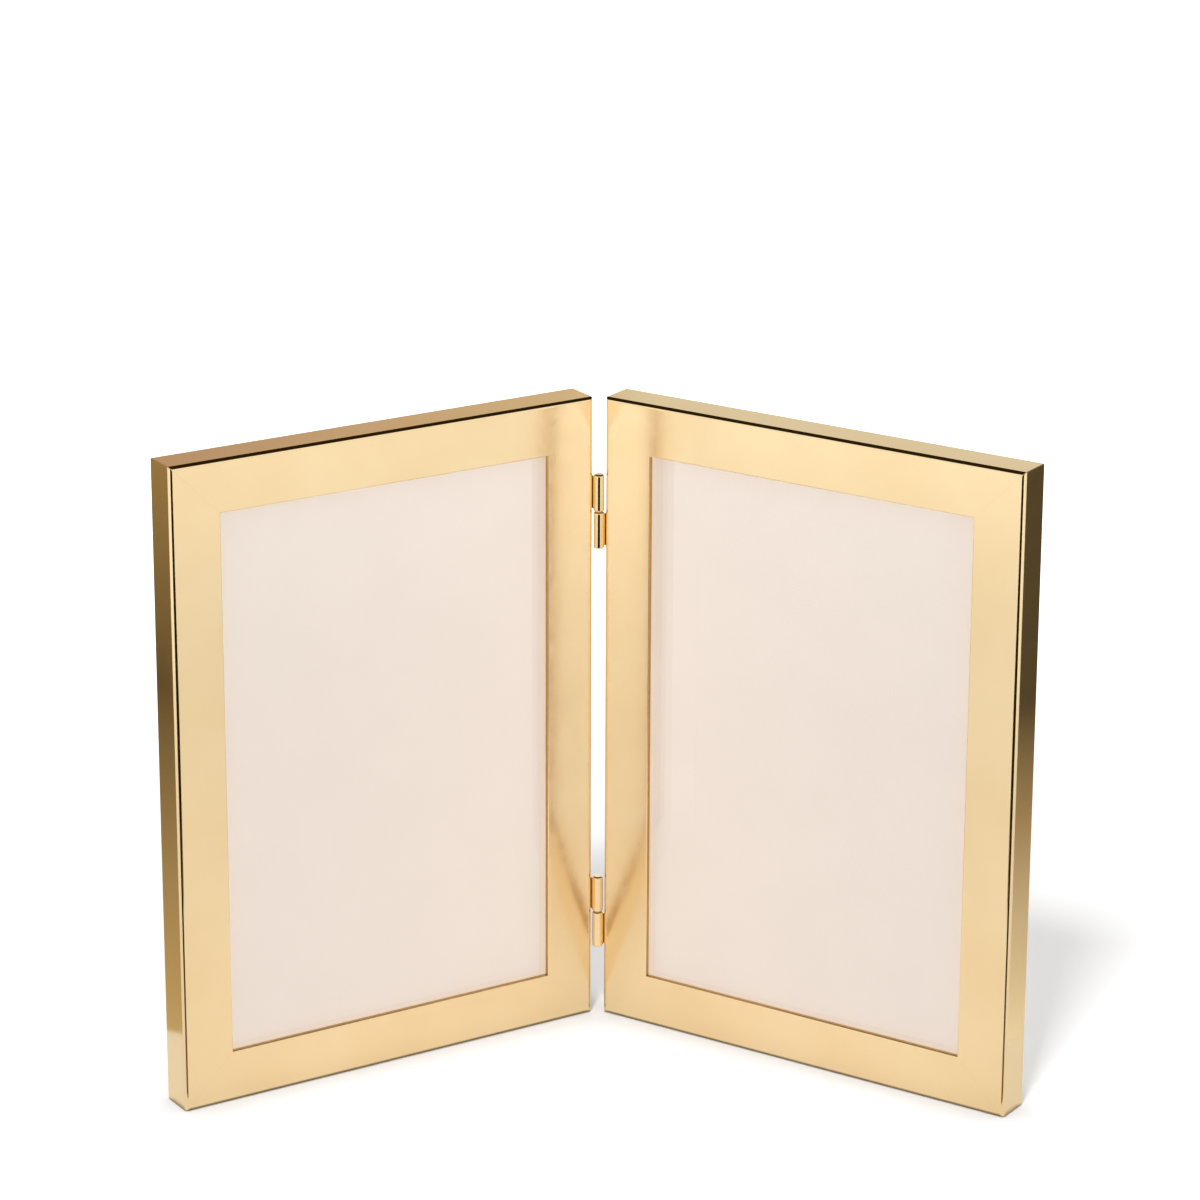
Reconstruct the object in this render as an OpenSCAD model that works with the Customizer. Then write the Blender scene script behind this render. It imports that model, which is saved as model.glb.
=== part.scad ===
// Folding double picture frame. Two metal panels stand in a V on a pair of
// small hinges. Each panel is four mitred rails round a window, with a front
// lip that holds the glass, the picture and its backing in a rebate.
// X runs to the right, Y to the back and Z up, and the frame stands on Z = 0.

/* [Picture] */
// Width of the print that each panel holds
print_w = 102; // [80:0.5:130]
// Height of the print
print_h = 152.4; // [120:0.1:180]
// Gap between the print and the side of its rebate
print_gap = 0.3; // [0.2:0.1:0.5]

/* [Panel] */
// Depth of a panel from its front face to its back face
panel_t = 10.5; // [9.5:0.5:16]
// Width of metal between the outer face and the rebate
wall_w = 11; // [9.5:0.5:16]
// Width of the front lip, from the side of the rebate to the window
lip_w = 3.1; // [1.5:0.1:5]
// Thickness of the front lip
lip_t = 1.2; // [1:0.1:3]
// Radius on the outer front edges
front_r = 1.1; // [0.4:0.1:1.6]
// Radius on the outer back edges
back_r = 0.5; // [0.2:0.1:1]
// Radius on the front edge of the window
sight_r = 0.3; // [0.1:0.1:0.6]
// Angle between the two front faces, in degrees
open_angle = 114.4; // [60:0.1:170]

/* [Filling] */
// Thickness of the glass
glass_t = 2; // [1.2:0.1:2.5]
// Thickness of the paper insert
insert_t = 0.4; // [0.2:0.1:0.8]
// Thickness of the filler card
card_t = 1.2; // [0.6:0.1:1.6]
// Thickness of the velvet cover on the back
velvet_t = 0.7; // [0.4:0.1:1]

/* [Corner keys] */
// Width of a corner key's arm
key_w = 4; // [3:0.5:5]
// Thickness of a corner key
key_t = 3; // [2:0.5:4]
// Reach of a corner key's arm from the corner of the panel
key_reach = 17; // [12:0.5:18]
// Clearance between a corner key and its pocket
key_fit = 0.05; // [0.02:0.01:0.1]

/* [Hinges] */
// Height of the seam of the lower hinge above the foot
lower_inset = 29.8; // [26:0.1:45]
// Distance of the seam of the upper hinge below the top
upper_inset = 31.4; // [26:0.1:45]
// Distance of the hinge axis in front of the front face
axis_front = 0.6; // [0.5:0.1:1.2]
// Diameter of a knuckle
knuckle_d = 2.8; // [2.7:0.1:3.2]
// Length of one knuckle
knuckle_l = 10.2; // [8:0.1:13]
// Radius on the ends of a knuckle
knuckle_end_r = 0.5; // [0.2:0.1:0.5]
// Gap at the seam between two knuckles
knuckle_gap = 0.1; // [0.05:0.05:0.3]
// Length of solid metal that closes a knuckle's outer end
knuckle_cap = 1.5; // [1:0.1:2.5]
// Depth by which a knuckle reaches past the seat of its leaf
knuckle_past = 0.05; // [0.02:0.01:0.1]
// Diameter of the hinge pin
pin_d = 1.4; // [1:0.1:1.4]
// Radial clearance of the pin in the knuckle that turns on it
pin_clear = 0.05; // [0.02:0.01:0.1]
// Gap between the pin's end and the bottom of that knuckle's bore
pin_end_gap = 0.3; // [0.1:0.1:0.8]
// Thickness of a hinge leaf
leaf_t = 0.8; // [0.8:0.1:1]
// Depth of a leaf plate, along the side face
leaf_d = 6.2; // [5:0.1:7]
// Distance of the leaf plate behind the front face
leaf_setback = 2.1; // [0.9:0.1:3]
// Height that the tab stays short of each end of its knuckle
tab_inset = 0.7; // [0.6:0.1:1.5]

/* [Hinge screws] */
// Diameter of a hinge screw's shank
hinge_screw_d = 1.4; // [1.2:0.1:1.6]
// Diameter of its countersunk head
hinge_head_d = 2.6; // [2.2:0.1:2.6]
// Length of a hinge screw
hinge_screw_l = 5; // [3:0.1:7]

/* [Turn buttons] */
// Width of a turn button
button_w = 6; // [4:0.5:7]
// Thickness of a turn button
button_t = 0.8; // [0.5:0.1:1.5]
// Length by which a closed button laps over the backing
button_lap = 4; // [3:0.5:6]
// Gap between an opened button and the rebate
button_clear = 2; // [0.5:0.5:2.5]
// Diameter of a button's screw
button_screw_d = 2; // [1.4:0.1:2.4]
// Diameter of the screw's head
button_head_d = 3.8; // [3:0.1:4]
// Height of the screw's head
button_head_h = 1; // [0.6:0.1:1.4]
// Length of the screw in the rail
button_screw_l = 5; // [3:0.1:6]
// Radial clearance of a button on its screw
button_fit = 0.05; // [0.02:0.01:0.1]

/* [Screw slots] */
// Width of the slot in a screw's head
slot_w = 0.5; // [0.3:0.05:0.7]
// Depth of the slot in a turn button's screw
slot_depth = 0.5; // [0.2:0.05:0.55]
// Depth of the slot in a hinge screw
fine_slot_depth = 0.3; // [0.1:0.05:0.4]

/* [Hidden] */
$fn = 64;
// overrun of every cutting shape past the surface that it opens
over = 1;
// free depth of a screw hole beyond the screw's tip
hole_spare = 0.3;
// place of the two screws of a leaf, as shares of the leaf's height
leaf_screw_shares = [-0.3, 0.3];

rebate_w = print_w + 2 * print_gap;
rebate_h = print_h + 2 * print_gap;
panel_w = rebate_w + 2 * wall_w;
panel_h = rebate_h + 2 * wall_w;
border = wall_w + lip_w;

insert_y = lip_t + glass_t;
card_y = insert_y + insert_t;
board_y = card_y + card_t;
cover_y = panel_t - velvet_t;
board_t = cover_y - board_y;

key_start = (wall_w - key_w) / 2;
key_y = (panel_t - key_t) / 2;
key_arm = key_reach - key_start;

knuckle_r = knuckle_d / 2;
// distance of the hinge axis out from the side face
axis_side = knuckle_r - knuckle_past;
pin_r = pin_d / 2;
bore_l = knuckle_l - knuckle_cap;
leaf_h = 2 * knuckle_l;
tab_h = knuckle_l - 2 * tab_inset;
leaf_screw_y = leaf_setback + leaf_d / 2;
hinge_head_h = (hinge_head_d - hinge_screw_d) / 2;
hinge_heights = [lower_inset, panel_h - upper_inset];

button_r = button_w / 2;
pivot_inset = wall_w - button_clear - button_r;
button_reach = button_r + button_clear + button_lap;
button_head_r = button_head_d / 2;
button_head_edge = button_head_h / 2;

// the left panel carries the upper knuckle of each hinge, the right the lower
LEFT = 1;
RIGHT = -1;

// each panel turns back by this angle from a flat row
splay = 90 - open_angle / 2;
// reach of a panel to the front and to the back of the hinge axis
front_reach = sin(splay) * (panel_w - front_r + axis_side)
            - cos(splay) * (front_r + axis_front) + front_r;
back_reach = cos(splay) * (panel_t - back_r + axis_front)
           - sin(splay) * (back_r + axis_side) + back_r;
hinge_y = (front_reach - back_reach) / 2;

gold = [0.88, 0.72, 0.42];
steel = [0.62, 0.62, 0.60];
clear_glass = [0.80, 0.90, 0.88, 0.35];
blush = [0.94, 0.89, 0.85];
card_white = [0.92, 0.90, 0.86];
board_brown = [0.55, 0.42, 0.30];
velvet_cream = [0.80, 0.72, 0.60];

// A panel is drawn with its hinge side at X = 0, its front at Y = 0 and its
// foot at Z = 0, and is then set on the hinge axis.
module right() {
    translate([0, hinge_y, 0]) rotate([0, 0, -splay])
        translate([axis_side, axis_front, 0]) children();
}

module left() {
    mirror([1, 0, 0]) right() children();
}

// A rail is drawn along X with its outer face at Z = 0. These put it on each
// of the four edges of a panel.
module on_bottom() { children(); }
module on_top() { translate([0, 0, panel_h]) mirror([0, 0, 1]) children(); }
module on_inner() { mirror([1, 0, -1]) children(); }
module on_outer() { translate([panel_w, 0, 0]) mirror([1, 0, 0]) on_inner() children(); }

// what a rounded corner of an outline loses, with the corner at the origin
module corner_cut(r) {
    difference() {
        translate([-over, -over]) square(r + over);
        translate([r, r]) circle(r);
    }
}

// cross-section of a rail: depth along X, width from the outer face along Y
module rail_profile() {
    difference() {
        square([panel_t, border]);
        translate([lip_t, wall_w]) square([panel_t, border]);
        corner_cut(front_r);
        translate([panel_t, 0]) mirror([1, 0, 0]) corner_cut(back_r);
        translate([0, border]) mirror([0, 1, 0]) corner_cut(sight_r);
    }
}

module mitre_prism(length) {
    translate([0, panel_t + over, 0]) rotate([90, 0, 0]) linear_extrude(panel_t + 2 * over)
        polygon([[0, 0], [length, 0], [length - border, border], [border, border]]);
}

module key_pocket() {
    start = key_start - key_fit;
    translate([start, key_y - key_fit, start])
        cube([key_arm + 2 * key_fit, key_t + 2 * key_fit, key_w + 2 * key_fit]);
}

// one mitred rail with a pocket for a corner key at each end and the hole of
// a turn button's screw halfway along its back
module rail(length) {
    color(gold) difference() {
        intersection() {
            rotate([90, 0, 90]) linear_extrude(length) rail_profile();
            mitre_prism(length);
        }
        for (end = [0, 1])
            translate([end * length, 0, 0]) mirror([end, 0, 0]) key_pocket();
        at_pivot(length) translate([0, 0, -button_screw_l - hole_spare])
            cylinder(d = button_screw_d, h = button_screw_l + hole_spare + over);
    }
}

module top_rail() { on_top() rail(panel_w); }
module bottom_rail() { on_bottom() rail(panel_w); }
module outer_stile() { on_outer() rail(panel_h); }

// the inner stile is also drilled for the screws of both hinges
module inner_stile() {
    color(gold) difference() {
        on_inner() rail(panel_h);
        for (z = hinge_heights)
            at_leaf_screws(z) cylinder(d = hinge_screw_d, h = hinge_screw_l + hole_spare);
    }
}

module corner_key() {
    translate([key_start, key_y, key_start]) union() {
        cube([key_arm, key_t, key_w]);
        cube([key_w, key_t, key_arm]);
    }
}

module corner_keys() {
    color(steel) for (x_end = [0, 1], z_end = [0, 1])
        translate([x_end * panel_w, 0, z_end * panel_h])
            mirror([x_end, 0, 0]) mirror([0, 0, z_end]) corner_key();
}

// a sheet that lies in the rebate
module sheet(y, thickness) {
    translate([wall_w + print_gap, y, wall_w + print_gap]) cube([print_w, thickness, print_h]);
}

module glass() { color(clear_glass) sheet(lip_t, glass_t); }
module paper_insert() { color(blush) sheet(insert_y, insert_t); }
module filler_card() { color(card_white) sheet(card_y, card_t); }
module backing_board() { color(board_brown) sheet(board_y, board_t); }
module back_cover() { color(velvet_cream) sheet(cover_y, velvet_t); }

// the pivot of a turn button, halfway along a rail, with Z out of the back
module at_pivot(length) {
    translate([length / 2, panel_t, pivot_inset]) rotate([-90, 0, 0]) children();
}

// a flat button with round ends, lying on the back face over the backing
module turn_button(length) {
    color(gold) at_pivot(length) linear_extrude(button_t) difference() {
        union() {
            circle(button_r);
            translate([-button_r, button_r - button_reach]) square([button_w, button_reach - button_r]);
            translate([0, button_r - button_reach]) circle(button_r);
        }
        circle(button_screw_d / 2 + button_fit);
    }
}

module top_turn_button() { on_top() turn_button(panel_w); }
module bottom_turn_button() { on_bottom() turn_button(panel_w); }
module outer_turn_button() { on_outer() turn_button(panel_h); }
module inner_turn_button() { on_inner() turn_button(panel_h); }

module pan_head() {
    rotate_extrude() union() {
        square([button_head_r - button_head_edge, button_head_h]);
        square([button_head_r, button_head_h - button_head_edge]);
        intersection() {
            translate([button_head_r - button_head_edge, button_head_h - button_head_edge])
                circle(button_head_edge);
            square([button_head_r, button_head_h]);
        }
    }
}

module turn_button_screw(length) {
    at_pivot(length) difference() {
        union() {
            translate([0, 0, -button_screw_l])
                cylinder(d = button_screw_d, h = button_screw_l + button_t + button_head_h / 2);
            translate([0, 0, button_t]) pan_head();
        }
        translate([-button_head_r - over, -slot_w / 2, button_t + button_head_h - slot_depth])
            cube([button_head_d + 2 * over, slot_w, slot_depth + over]);
    }
}

module turn_button_screws() {
    color(gold) {
        on_top() turn_button_screw(panel_w);
        on_bottom() turn_button_screw(panel_w);
        on_outer() turn_button_screw(panel_h);
        on_inner() turn_button_screw(panel_h);
    }
}

// from the seam of a hinge, along its axis, towards the knuckle of one side
module from_seam(z, side) {
    translate([-axis_side, -axis_front, z]) mirror([0, 0, side == LEFT ? 0 : 1]) children();
}

module knuckle() {
    inner_r = knuckle_r - knuckle_end_r;
    translate([0, 0, knuckle_gap / 2]) rotate_extrude() union() {
        square([inner_r, knuckle_l]);
        translate([0, knuckle_end_r]) square([knuckle_r, knuckle_l - 2 * knuckle_end_r]);
        for (end = [knuckle_end_r, knuckle_l - knuckle_end_r])
            translate([inner_r, end]) intersection() {
                circle(knuckle_end_r);
                translate([0, -knuckle_end_r]) square(2 * knuckle_end_r);
            }
    }
}

// A plate lies on the side of the stile, and a tab runs straight on from it
// to the knuckle.
module leaf_plate(z) {
    translate([-leaf_t, leaf_setback, z - leaf_h / 2]) cube([leaf_t, leaf_d, leaf_h]);
}

module leaf_tab(z, side) {
    low = side == LEFT ? z + knuckle_gap / 2 + tab_inset : z - knuckle_gap / 2 - tab_inset - tab_h;
    translate([-leaf_t, -axis_front, low])
        cube([leaf_t, axis_front + leaf_setback + leaf_d / 2, tab_h]);
}

// the screws of one leaf, with Z from its plate into the stile
module at_leaf_screws(z) {
    for (share = leaf_screw_shares)
        translate([-leaf_t, leaf_screw_y, z + share * leaf_h]) rotate([0, 90, 0]) children();
}

module hinge_leaf(z, side) {
    bore_r = side == LEFT ? pin_r + pin_clear : pin_r;
    color(gold) difference() {
        union() {
            leaf_plate(z);
            leaf_tab(z, side);
            from_seam(z, side) knuckle();
        }
        from_seam(z, side) translate([0, 0, -over])
            cylinder(r = bore_r, h = over + knuckle_gap / 2 + bore_l);
        at_leaf_screws(z) {
            countersunk_screw();
            translate([0, 0, -over]) cylinder(d = hinge_head_d, h = over);
        }
    }
}

module countersunk_screw() {
    cylinder(d1 = hinge_head_d, d2 = hinge_screw_d, h = hinge_head_h);
    cylinder(d = hinge_screw_d, h = hinge_screw_l);
}

// pressed into the lower knuckle and running in the upper one
module hinge_pin(z) {
    half = knuckle_gap / 2 + bore_l;
    color(steel) translate([-axis_side, -axis_front, z - half])
        cylinder(d = pin_d, h = 2 * half - pin_end_gap);
}

module hinge_screws() {
    color(gold) for (z = hinge_heights) at_leaf_screws(z) difference() {
        countersunk_screw();
        translate([-slot_w / 2, -hinge_head_d / 2, -over])
            cube([slot_w, hinge_head_d, over + fine_slot_depth]);
    }
}

left() top_rail();  // left_top_rail
left() bottom_rail();  // left_bottom_rail
left() outer_stile();  // left_outer_stile
left() inner_stile();  // left_inner_stile
left() corner_keys();  // left_corner_keys
left() glass();  // left_glass
left() paper_insert();  // left_paper_insert
left() filler_card();  // left_filler_card
left() backing_board();  // left_backing_board
left() back_cover();  // left_back_cover
left() top_turn_button();  // left_top_turn_button
left() bottom_turn_button();  // left_bottom_turn_button
left() outer_turn_button();  // left_outer_turn_button
left() inner_turn_button();  // left_inner_turn_button
left() turn_button_screws();  // left_turn_button_screws
right() top_rail();  // right_top_rail
right() bottom_rail();  // right_bottom_rail
right() outer_stile();  // right_outer_stile
right() inner_stile();  // right_inner_stile
right() corner_keys();  // right_corner_keys
right() glass();  // right_glass
right() paper_insert();  // right_paper_insert
right() filler_card();  // right_filler_card
right() backing_board();  // right_backing_board
right() back_cover();  // right_back_cover
right() top_turn_button();  // right_top_turn_button
right() bottom_turn_button();  // right_bottom_turn_button
right() outer_turn_button();  // right_outer_turn_button
right() inner_turn_button();  // right_inner_turn_button
right() turn_button_screws();  // right_turn_button_screws
left() hinge_leaf(hinge_heights[1], LEFT);  // upper_hinge_left_leaf
right() hinge_leaf(hinge_heights[1], RIGHT);  // upper_hinge_right_leaf
right() hinge_pin(hinge_heights[1]);  // upper_hinge_pin
left() hinge_leaf(hinge_heights[0], LEFT);  // lower_hinge_left_leaf
right() hinge_leaf(hinge_heights[0], RIGHT);  // lower_hinge_right_leaf
right() hinge_pin(hinge_heights[0]);  // lower_hinge_pin
left() hinge_screws();  // left_hinge_screws
right() hinge_screws();  // right_hinge_screws
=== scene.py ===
import math

import bmesh
import bpy
from mathutils import Matrix, Vector


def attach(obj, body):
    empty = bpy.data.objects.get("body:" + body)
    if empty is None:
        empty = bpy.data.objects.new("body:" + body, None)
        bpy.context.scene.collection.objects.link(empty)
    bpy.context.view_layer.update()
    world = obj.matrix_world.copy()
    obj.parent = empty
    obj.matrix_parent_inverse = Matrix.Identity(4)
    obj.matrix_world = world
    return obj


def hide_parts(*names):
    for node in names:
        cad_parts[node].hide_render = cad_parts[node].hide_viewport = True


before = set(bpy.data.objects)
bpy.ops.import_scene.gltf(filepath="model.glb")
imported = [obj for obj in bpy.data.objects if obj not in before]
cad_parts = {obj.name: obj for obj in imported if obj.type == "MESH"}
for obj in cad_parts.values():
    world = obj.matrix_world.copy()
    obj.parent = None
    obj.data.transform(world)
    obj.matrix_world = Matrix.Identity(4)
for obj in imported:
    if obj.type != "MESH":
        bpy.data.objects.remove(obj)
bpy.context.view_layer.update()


# Rails and stiles. Each panel is four lengths of brass section, mitred, soldered over keys and ground
# flush, then polished and gold plated. The section has a wall round the rebate and a thin front lip
# round the window. The inner stile carries the two hinges.
panel_w, panel_h, panel_t = 0.1246, 0.175, 0.0105
wall_w, border, lip_t = 0.011, 0.0141, 0.0012
front_r, back_r, sight_r, rebate_r = 0.0011, 0.0005, 0.0003, 0.00015
splay = math.radians(32.8)
hinge_y, axis_side, axis_front = 0.0294477, 0.00135, 0.0006
hinge_heights = {"lower": 0.0298, "upper": 0.1436}
sides = {"left": -1, "right": 1}

hinge_row = Matrix.Translation((0, hinge_y, 0)) @ Matrix.Rotation(-splay, 4, "Z")
right_panel = hinge_row @ Matrix.Translation((axis_side, axis_front, 0))
panel_places = {name: Matrix.Diagonal((side, 1, 1, 1)) @ right_panel for name, side in sides.items()}

# a rail is made along X with its outer face at Z = 0 and its front at Y = 0
swap = Matrix(((0, 0, 1, 0), (0, 1, 0, 0), (1, 0, 0, 0), (0, 0, 0, 1)))
edge_places = {
    "bottom": Matrix.Identity(4),
    "top": Matrix.Translation((0, 0, panel_h)) @ Matrix.Diagonal((1, 1, -1, 1)),
    "inner": swap,
    "outer": Matrix.Translation((panel_w, 0, 0)) @ Matrix.Diagonal((-1, 1, 1, 1)) @ swap,
}
edge_lengths = {"bottom": panel_w, "top": panel_w, "inner": panel_h, "outer": panel_h}
edge_names = {"bottom": "bottom_rail", "top": "top_rail", "inner": "inner_stile", "outer": "outer_stile"}

front_steps, sight_steps, rebate_steps, back_steps = 14, 6, 3, 8
tight_run = 0.00004
seam_depth, corner_ease = 0.000008, 0.00012
seam_rings = ((1, 0), (0.35, 0.8), (0, 2), (0, 4))


def rail_section():
    """Points of a rail's section as (depth, width), with the outward direction at each."""
    corners = (
        ((0, 0), front_r, front_steps),
        ((0, border), sight_r, sight_steps),
        ((lip_t, border), 0, 0),
        ((lip_t, wall_w), 0, 0),
        ((panel_t, wall_w), rebate_r, rebate_steps),
        ((panel_t, 0), back_r, back_steps),
    )
    points = []
    for i, (corner, radius, steps) in enumerate(corners):
        corner = Vector(corner)
        back = (Vector(corners[i - 1][0]) - corner).normalized()
        ahead = (Vector(corners[(i + 1) % len(corners)][0]) - corner).normalized()
        if not radius:
            points.append((corner, -(back + ahead)))
            continue
        centre = corner + radius * (back + ahead)
        points.append((corner + (radius + tight_run) * back, -ahead))
        for step in range(steps + 1):
            turn = math.pi / 2 * step / steps
            outward = -(ahead * math.cos(turn) + back * math.sin(turn))
            points.append((centre + radius * outward, outward))
        points.append((corner + (radius + tight_run) * ahead, -back))
    return points


def rail_mesh(length):
    """A mitred rail. Its ends are eased by a hair, which leaves a fine seam at each corner."""
    section = rail_section()
    bm = bmesh.new()
    rings = []
    for end, ring_order in ((0, seam_rings), (1, tuple(reversed(seam_rings)))):
        for share, run in ring_order:
            ring = []
            for point, outward in section:
                nearness = max(0, 1 - point.y / front_r)
                ease = seam_depth + (corner_ease - seam_depth) * nearness
                depth, width = point - outward * ease * share
                along = width + run * ease
                ring.append(bm.verts.new((along if end == 0 else length - along, depth, width)))
            rings.append(ring)
    count = len(section)
    for first, second in zip(rings, rings[1:]):
        for i in range(count):
            j = (i + 1) % count
            bm.faces.new((first[i], first[j], second[j], second[i]))
    bm.faces.new(rings[0])
    bm.faces.new(list(reversed(rings[-1])))
    bmesh.ops.recalc_face_normals(bm, faces=bm.faces)
    return bm


round_bevel = {"segments": 2, "profile": 0.5, "affect": "EDGES"}
bar_sides = 32


def add_box(bm, low, high, bevel=0):
    """A box between two corners, with its edges bevelled."""
    size = Vector(high) - Vector(low)
    middle = (Vector(high) + Vector(low)) / 2
    place = Matrix.Translation(middle) @ Matrix.Diagonal((*size, 1))
    made = bmesh.ops.create_cube(bm, size=1, matrix=place)
    if bevel:
        edges = list({edge for vert in made["verts"] for edge in vert.link_edges})
        bmesh.ops.bevel(bm, geom=edges, offset=bevel, **round_bevel)


def add_drum(bm, radius, low, high, place):
    """A round bar about Z from low to high, set in place."""
    bmesh.ops.create_cone(
        bm,
        cap_ends=True,
        segments=bar_sides,
        radius1=radius,
        radius2=radius,
        depth=high - low,
        matrix=place @ Matrix.Translation((0, 0, (low + high) / 2)),
    )


def make_object(name, bm, place=None):
    """An object at the origin, with the mesh moved to its place and its faces outwards."""
    mesh = bpy.data.meshes.new(name)
    if place is not None:
        bmesh.ops.transform(bm, matrix=place, verts=bm.verts)
        if place.determinant() < 0:
            bmesh.ops.reverse_faces(bm, faces=bm.faces)
    bm.to_mesh(mesh)
    bm.free()
    made = bpy.data.objects.new(name, mesh)
    bpy.context.scene.collection.objects.link(made)
    return made


def bake_modifiers(piece):
    """Turns a piece with modifiers into its plain mesh."""
    bpy.context.view_layer.update()
    graph = bpy.context.evaluated_depsgraph_get()
    mesh = bpy.data.meshes.new_from_object(piece.evaluated_get(graph))
    piece.modifiers.clear()
    piece.data = mesh
    return piece


def cut(piece, tool, operation="DIFFERENCE"):
    """Cuts a piece with a tool, or joins the tool to it, and throws the tool away."""
    step = piece.modifiers.new("cut", "BOOLEAN")
    step.operation = operation
    step.solver = "EXACT"
    step.use_self = True
    step.object = tool
    bake_modifiers(piece)
    bpy.data.objects.remove(tool)
    return piece


def finish_piece(piece, material, body, slot, *nodes, sharp=30):
    """Smooths a piece up to an angle but keeps its flats flat, and sets it on its body."""
    piece.data.polygons.foreach_set("use_smooth", [True] * len(piece.data.polygons))
    piece.data.set_sharp_from_angle(angle=math.radians(sharp))
    flats = piece.modifiers.new("flats", "WEIGHTED_NORMAL")
    flats.keep_sharp = True
    flats.weight = 100
    bake_modifiers(piece)
    piece.data.materials.clear()
    piece.data.materials.append(material)
    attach(piece, body)
    if nodes:
        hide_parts(*nodes)


class Wire:
    """An output of a node. Sums and products of wires add Math nodes to the same tree."""

    def __init__(self, tree, socket=None):
        self.tree = tree
        self.socket = socket

    def node(self, kind, settings=None, values=None, output=0):
        """Adds a node, with its settings first and then the values or wires of its sockets."""
        made = self.tree.nodes.new(kind)
        for name, value in (settings or {}).items():
            if name == "stops":
                ramp = made.color_ramp.elements
                while len(ramp) < len(value):
                    ramp.new(1)
                for element, (place, colour) in zip(ramp, value):
                    element.position = place
                    element.color = colour
            else:
                setattr(made, name, value)
        for name, value in (values or {}).items():
            if isinstance(value, Wire):
                self.tree.links.new(value.socket, made.inputs[name])
            else:
                made.inputs[name].default_value = value
        if not made.outputs:
            return None
        return Wire(self.tree, made.outputs[output])

    def maths(self, operation, first, second):
        return self.node("ShaderNodeMath", {"operation": operation}, {0: first, 1: second})

    def __add__(self, other):
        return self.maths("ADD", self, other)

    def __sub__(self, other):
        return self.maths("SUBTRACT", self, other)

    def __rsub__(self, other):
        return self.maths("SUBTRACT", other, self)

    def __mul__(self, other):
        return self.maths("MULTIPLY", self, other)

    def __truediv__(self, other):
        return self.maths("DIVIDE", self, other)

    def size(self):
        """This wire's value without its sign."""
        return self.maths("ABSOLUTE", self, 0)

    def over(self, limit):
        """One where this wire's value is over the limit, and nothing elsewhere."""
        return self.maths("GREATER_THAN", self, limit)

    def under(self, limit):
        """One where this wire's value is under the limit, and nothing elsewhere."""
        return self.maths("LESS_THAN", self, limit)

    def at_least(self, other):
        """The larger of this wire's value and another."""
        return self.maths("MAXIMUM", self, other)

    __radd__ = __add__
    __rmul__ = __mul__

    def mix(self, first, second):
        """A colour between two, by this wire's share."""
        return self.node("ShaderNodeMix", {"data_type": "RGBA"}, {0: self, 6: first, 7: second}, output=2)

    def noise(self, where, scale, detail=2, roughness=0.5):
        values = {"Vector": where, "Scale": scale, "Detail": detail, "Roughness": roughness}
        return self.node("ShaderNodeTexNoise", None, values)

    def stretch(self, low, high):
        """This wire's values from low to high, spread over 0 to 1."""
        settings = {"interpolation_type": "SMOOTHSTEP"}
        values = {"Value": self, "From Min": low, "From Max": high}
        return self.node("ShaderNodeMapRange", settings, values)

    def bump(self, height, distance, strength=1.0, normal=None):
        values = {"Height": height, "Distance": distance, "Strength": strength}
        if normal is not None:
            values["Normal"] = normal
        return self.node("ShaderNodeBump", None, values)


def new_finish(name):
    """A material with an empty tree: the material, its wire and the place on the object."""
    made = bpy.data.materials.new(name)
    made.use_nodes = True
    made.node_tree.nodes.clear()
    wire = Wire(made.node_tree)
    return made, wire, wire.node("ShaderNodeTexCoord", output="Object")


def surface(wire, **values):
    """The surface of a material: one Principled shader, joined to the material's output."""
    named = {name.replace("_", " "): value for name, value in values.items()}
    shader = wire.node("ShaderNodeBsdfPrincipled", None, named)
    wire.node("ShaderNodeOutputMaterial", None, {"Surface": shader})
    return shader


wave_h, hairline_h = 0.00002, 0.0000003
lip_skin, cut_skin = 0.00008, 0.00004
# the third colour is a painted shade, for the cut edge of the lip inside the window
pale_gold, rich_gold, painted_jamb_shade_brown = (0.960, 0.745, 0.435, 1), (0.930, 0.705, 0.395, 1), (0.54, 0.31, 0.08, 1)


def gold_plate(name, least_haze):
    """Mirror plate, with the faint drift of tone, haze and waves that hand polishing leaves."""
    made, wire, here = new_finish(name)
    drift = wire.noise(here, 32, detail=3)
    haze = wire.noise(here, 120, detail=4, roughness=0.6)
    hairs = wire.noise(here, 2600, detail=3)
    waves = wire.bump(wire.noise(here, 60, detail=1), wave_h)
    polish = wire.bump(hairs, hairline_h, normal=waves)
    plate = drift.stretch(0.3, 0.7).mix(rich_gold, pale_gold)

    # painted shade: the cut edge of the lip, inside the window, is painted a dark brown for the dark
    # reflection along the jamb
    spots = [wire.node("ShaderNodeSeparateXYZ", None, {"Vector": here}, output=axis) for axis in "XYZ"]
    across = spots[0].size()
    behind = spots[1] - hinge_y
    along = across * math.cos(splay) - behind * math.sin(splay) - axis_side
    depth = across * math.sin(splay) + behind * math.cos(splay) - axis_front
    past_side = (along - panel_w / 2).size() - (panel_w / 2 - border)
    past_top = (spots[2] - panel_h / 2).size() - (panel_h / 2 - border)
    past_edge = past_side.at_least(past_top).size()
    painted_jamb_shade_mask = past_edge.under(cut_skin) * (depth.under(lip_t) * depth.over(lip_skin))
    surface(
        wire,
        Base_Color=painted_jamb_shade_mask.mix(plate, painted_jamb_shade_brown),
        Roughness=least_haze + haze.stretch(0.35, 0.75) * 0.045 + hairs * 0.02,
        Metallic=1.0,
        Normal=polish,
    )
    return made


gold = gold_plate("mirror_gold_plate", least_haze=0.085)

key_fit, key_start, key_w, key_arm = 0.00005, 0.0035, 0.004, 0.0135
key_y, key_t = 0.00375, 0.003
pivot_inset, button_screw_d, button_hole_l = 0.006, 0.002, 0.0053
leaf_t, leaf_screw_y, leaf_screw_gap = 0.0008, 0.0052, 0.00612
hinge_screw_d, hinge_hole_l = 0.0014, 0.0053
out = 0.001

into_stile = Matrix.Rotation(math.pi / 2, 4, "Y")
out_of_back = Matrix.Rotation(-math.pi / 2, 4, "X")


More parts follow.
